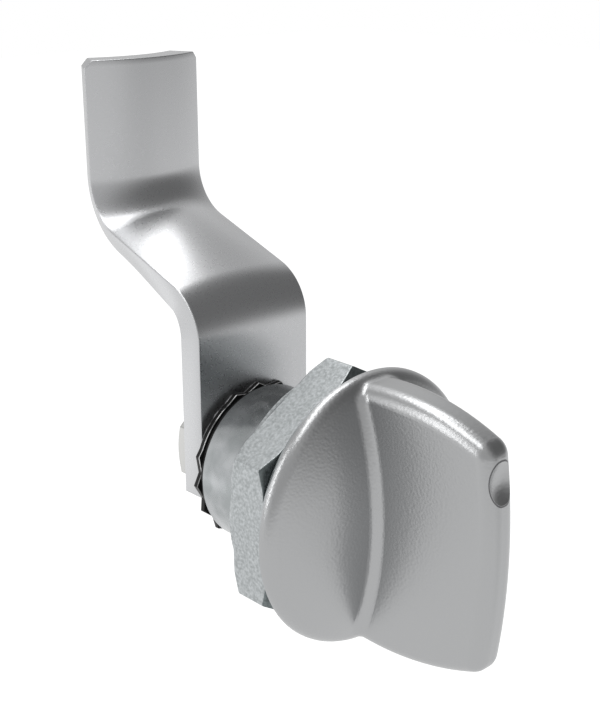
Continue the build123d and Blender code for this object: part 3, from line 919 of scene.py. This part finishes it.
# %% Rows along the cam
KINK_MARGIN = 0.15
FOOT_ROWS = 5
SIDE_ROWS = 3
HOLE_ROWS = 12
LOWER_ROWS = 16
BEND_ROWS = 28
TIP_ROWS = 18


def stretch(start, end, count):
    """Even steps from a start, which is left out, to an end."""
    return np.linspace(start, end, count + 1)[1:]


chamfer_start = cam_top - CAM_TIP_CHAMFER
middle_rows = np.concatenate([
    stretch(cam_foot, -DRIVE_HALF, FOOT_ROWS),
    stretch(-DRIVE_HALF, CAM_SIDE_END - KINK_MARGIN, SIDE_ROWS),
    [CAM_SIDE_END, CAM_SIDE_END + KINK_MARGIN],
    stretch(CAM_SIDE_END + KINK_MARGIN, DRIVE_HALF, HOLE_ROWS),
    stretch(DRIVE_HALF, CAM_BEND_START, LOWER_ROWS),
    CAM_BEND_START + stretch(0, slant_start, BEND_ROWS),
    CAM_BEND_START + stretch(slant_start, slant_end, BEND_ROWS),
    CAM_BEND_START + stretch(slant_end, straight_again, BEND_ROWS),
    stretch(CAM_BEND_START + straight_again, chamfer_start - KINK_MARGIN, TIP_ROWS),
    [chamfer_start, chamfer_start + KINK_MARGIN],
])
end_steps = CAM_EDGE * (1 - np.sin(QUARTER[::-1]))
end_insets = CAM_EDGE * (1 - np.cos(QUARTER[::-1]))
along = [[cam_foot], cam_foot + end_steps, middle_rows, cam_top - end_steps[::-1], [cam_top]]
along = np.concatenate(along)[:, None]
end_inset = [[CAM_EDGE], end_insets, np.zeros(len(middle_rows)), end_insets[::-1], [CAM_EDGE]]
end_inset = np.concatenate(end_inset)[:, None]
print("rows", len(along))

# %% Surface of the cam
HOLE_COLUMN_SHARE = 0.675
FLAT_ARCH = 1e-4


def cam_rows():
    """Outlines in blank coordinates, wrapped on the arch's circle, then stood square to the path.

    The front's circle has a radius of half the width over the sine of the arch. A point leans by the arch
    times its distance across over half the width. Its lift is counted from the chord between the bar's edges.
    """
    foot_share = np.clip((along - cam_foot) / (CAM_SIDE_END - cam_foot), 0, 1)
    chamfer = np.clip(along - chamfer_start, 0, None)
    width = CAM_FOOT_HALF + (cam_half - CAM_FOOT_HALF) * foot_share - chamfer
    hole_column = np.minimum(DRIVE_HALF, HOLE_COLUMN_SHARE * width)
    edge = CAM_EDGE - end_inset
    span = width - end_inset - edge - hole_column
    across = column_side * (columns[:, 0] * hole_column + columns[:, 1] * span + columns[:, 2] * edge)
    layer = column_layer * CAM_THICKNESS + (1 - 2 * column_layer) * (end_inset + columns[:, 3] * edge)
    layer[[0, -1]] = CAM_THICKNESS / 2
    travel = along - CAM_BEND_START
    share = np.clip(travel / CAM_ARCH_LENGTH, 0, 1)
    arch = np.maximum(CAM_ARCH * share * share * (3 - 2 * share), FLAT_ARCH)
    lean = arch * across / cam_half
    radius = cam_half / np.sin(arch) - layer
    lift = cam_half / np.tan(arch) - radius * np.cos(lean)
    turn = cam_turn(travel)
    depth, height = cam_path(travel)
    depth = depth + lift * np.cos(turn)
    height = height - lift * np.sin(turn)
    return np.stack([radius * np.sin(lean), depth, height], axis=-1)


cam_points = cam_rows()
print("cam points", cam_points.shape[0] * cam_points.shape[1])

# %% [markdown]
# The cam's square hole fits the spindle. A Boolean would cut long thin triangles into the flat faces. Here
# the rows and columns already lie on the square's sides, so the quads inside it are left out, and four
# walls of quads join the front's edge to the rear's.

# %% Square hole of the cam
ROW_TOLERANCE = 0.01

cam_index = np.arange(cam_points.shape[0] * cam_points.shape[1]).reshape(cam_points.shape[:2])
row_starts, row_ends = along[:-1, 0], along[1:, 0]
hollow_row = (row_starts > -DRIVE_HALF - ROW_TOLERANCE) & (row_ends < DRIVE_HALF + ROW_TOLERANCE)
inner_column = (columns[:, 1] == 0) & (columns[:, 2] == 0)
hollow_column = inner_column & np.roll(inner_column, -1)
cam_quads = [row_quads(*cam_points.shape[:2], False)[~(hollow_row[:, None] & hollow_column)]]

by_place = np.argsort(column_side * columns[:, 0], kind="stable")
front_columns = by_place[inner_column[by_place] & (column_layer[by_place] == 0)]
rear_columns = by_place[inner_column[by_place] & (column_layer[by_place] == 1)]
hole_rows = np.flatnonzero(hollow_row)
for row in (hole_rows[0], hole_rows[-1] + 1):
    front, rear = cam_index[row, front_columns], cam_index[row, rear_columns]
    cam_quads.append(np.stack([front[:-1], front[1:], rear[1:], rear[:-1]], axis=-1))
for side in (0, -1):
    front, rear = cam_index[:, front_columns[side]], cam_index[:, rear_columns[side]]
    lower, upper = hole_rows, hole_rows + 1
    cam_quads.append(np.stack([front[lower], front[upper], rear[upper], rear[lower]], axis=-1))
cam_skin = (cam_points.reshape(-1, 3), np.concatenate(cam_quads))
piece("cam_bar", "cam", "turning", "cam_steel", [cam_skin])
